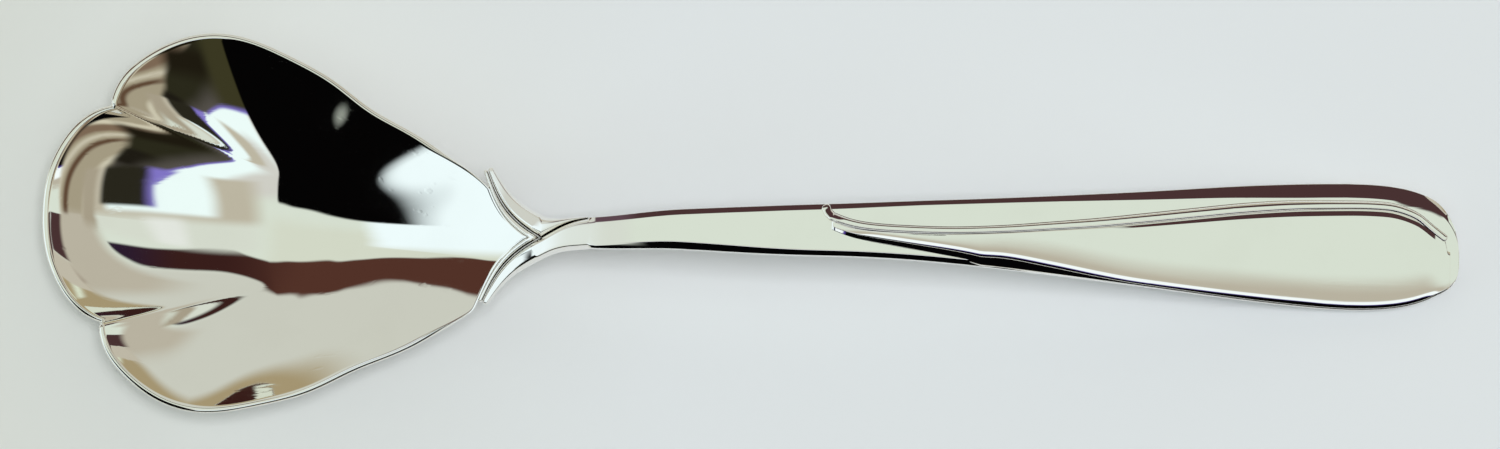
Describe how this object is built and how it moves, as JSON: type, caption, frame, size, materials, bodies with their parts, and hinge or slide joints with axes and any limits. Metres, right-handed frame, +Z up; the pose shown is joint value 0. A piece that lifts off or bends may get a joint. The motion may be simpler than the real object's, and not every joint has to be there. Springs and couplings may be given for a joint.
{
  "type": "sugar spoon",
  "caption": "Silver sugar spoon: three-lobed shell-like bowl, forked heel with a bead, arched stem and rounded handle with an applied leaf and rib.",
  "frame": {"origin": "centre of the footprint, on the table that the spoon lies on", "axes": "+X along the handle from the bowl's tip to the handle's end, +Y across towards the rib's side of the handle, +Z up out of the open bowl"},
  "size_m": [0.156, 0.0418, 0.0194],
  "materials": {
    "silver": "polished"
  },
  "bodies": {
    "root": {"bowl": "silver", "heel_bead": "silver", "stem": "silver", "upper_arm": "silver", "handle_leaf": "silver", "leaf_rib": "silver"}
  },
  "joints": []
}
